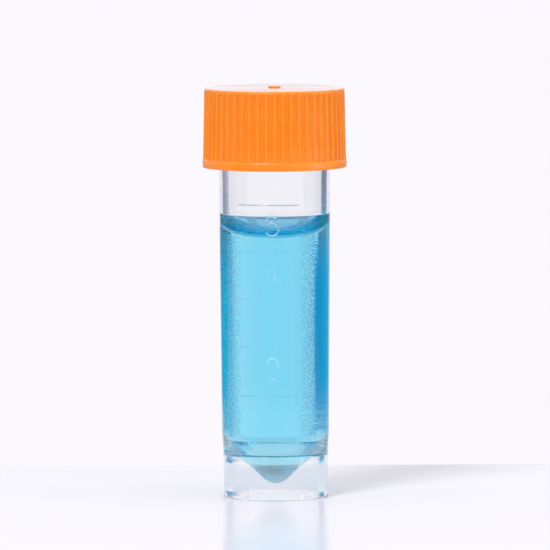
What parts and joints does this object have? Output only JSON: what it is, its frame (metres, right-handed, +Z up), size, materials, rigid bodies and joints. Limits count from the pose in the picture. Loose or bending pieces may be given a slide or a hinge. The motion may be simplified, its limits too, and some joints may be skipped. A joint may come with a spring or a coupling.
{
  "type": "cryovial",
  "caption": "Self-standing screw-cap cryovial: clear tapered tube with a conical bore in a skirted base, ribbed external-thread cap, seal washer and blue liquid sample.",
  "frame": {"origin": "centre of the flat ring that the tube stands on", "axes": "+Z up along the tube's axis to the cap, -Y towards the side with the graduations"},
  "size_m": [0.0208, 0.0208, 0.0595],
  "materials": {
    "clear_plastic": "clear moulded polypropylene, fine texture on two side panels",
    "blue_liquid": "clear blue water-like liquid",
    "washer_rubber": "matt silicone",
    "cap_plastic": "satin moulded polypropylene"
  },
  "bodies": {
    "vial": {"tube": "clear_plastic", "sample_liquid": "blue_liquid"},
    "seal": {"seal_washer": "washer_rubber"},
    "cap": {"cap": "cap_plastic"}
  },
  "joints": [
    {"name": "cap_lift", "type": "slide", "parent": "vial", "child": "seal", "axis": [0, 0, 1], "range_m": [0, 0.012]},
    {"name": "cap_turn", "type": "hinge", "parent": "seal", "child": "cap", "pos_m": [0, 0, 0], "axis": [0, 0, 1], "range_deg": [0, 1080]}
  ],
  "couplings": [
    {"joint": "cap_lift", "follows": "cap_turn", "m_per_rad": 0.0006366}
  ]
}
